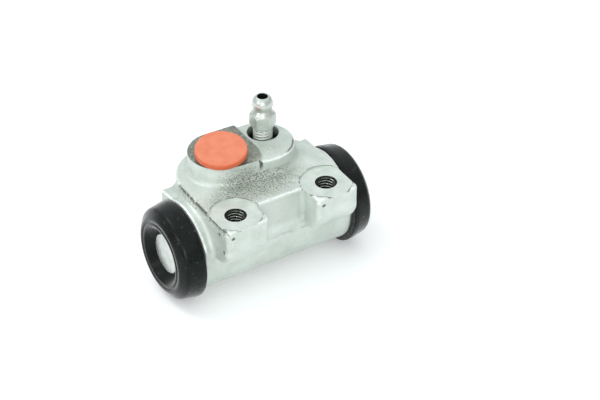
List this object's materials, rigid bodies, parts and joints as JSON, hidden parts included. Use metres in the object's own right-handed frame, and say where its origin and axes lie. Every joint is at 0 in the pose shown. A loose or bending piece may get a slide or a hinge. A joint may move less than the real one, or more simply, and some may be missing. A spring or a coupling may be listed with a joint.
{
  "type": "drum brake wheel cylinder",
  "caption": "Drum brake wheel cylinder: cast barrel with sprung opposed pistons under rubber boots, a flange with threaded screw pads, a bleed screw and a capped pipe port.",
  "frame": {"origin": "midway between the two mounting screw holes, on the machined faces of the flange's pads", "axes": "+Z out of the pad faces towards the backplate, +X along the bore, +Y from the screw holes towards the bore"},
  "size_m": [0.0668, 0.0421, 0.0505],
  "materials": {
    "plated_iron": "cast iron with clear zinc plating, machined faces smoother than the cast skin",
    "boot_rubber": "satin black moulded rubber",
    "piston_metal": "turned, fine satin",
    "cup_rubber": "smooth black rubber",
    "spring_steel": "drawn wire",
    "bleed_screw_steel": "bright zinc-plated steel",
    "plug_plastic": "soft orange plastic"
  },
  "bodies": {
    "housing": {"cylinder_body": "plated_iron", "left_boot": "boot_rubber", "right_boot": "boot_rubber", "piston_spring": "spring_steel"},
    "left_plunger": {"left_piston": "piston_metal", "left_seal_cup": "cup_rubber"},
    "right_plunger": {"right_piston": "piston_metal", "right_seal_cup": "cup_rubber"},
    "bleeder": {"bleed_screw": "bleed_screw_steel"},
    "plug": {"port_plug": "plug_plastic"}
  },
  "joints": [
    {"name": "left_piston_slide", "type": "slide", "parent": "housing", "child": "left_plunger", "axis": [-1, 0, 0], "range_m": [-0.002, 0.0035], "stiffness_N_per_m": 450, "deforming": ["left_boot", "piston_spring"]},
    {"name": "right_piston_slide", "type": "slide", "parent": "housing", "child": "right_plunger", "axis": [1, 0, 0], "range_m": [-0.002, 0.0035], "stiffness_N_per_m": 450, "deforming": ["right_boot", "piston_spring"]},
    {"name": "bleed_screw_turn", "type": "hinge", "parent": "housing", "child": "bleeder", "pos_m": [0.009, 0.0251, 0.012], "axis": [0, 0, 1], "range_deg": [0, 360]},
    {"name": "port_plug_pull", "type": "slide", "parent": "housing", "child": "plug", "axis": [0, 0, 1], "range_m": [0, 0.012]}
  ]
}
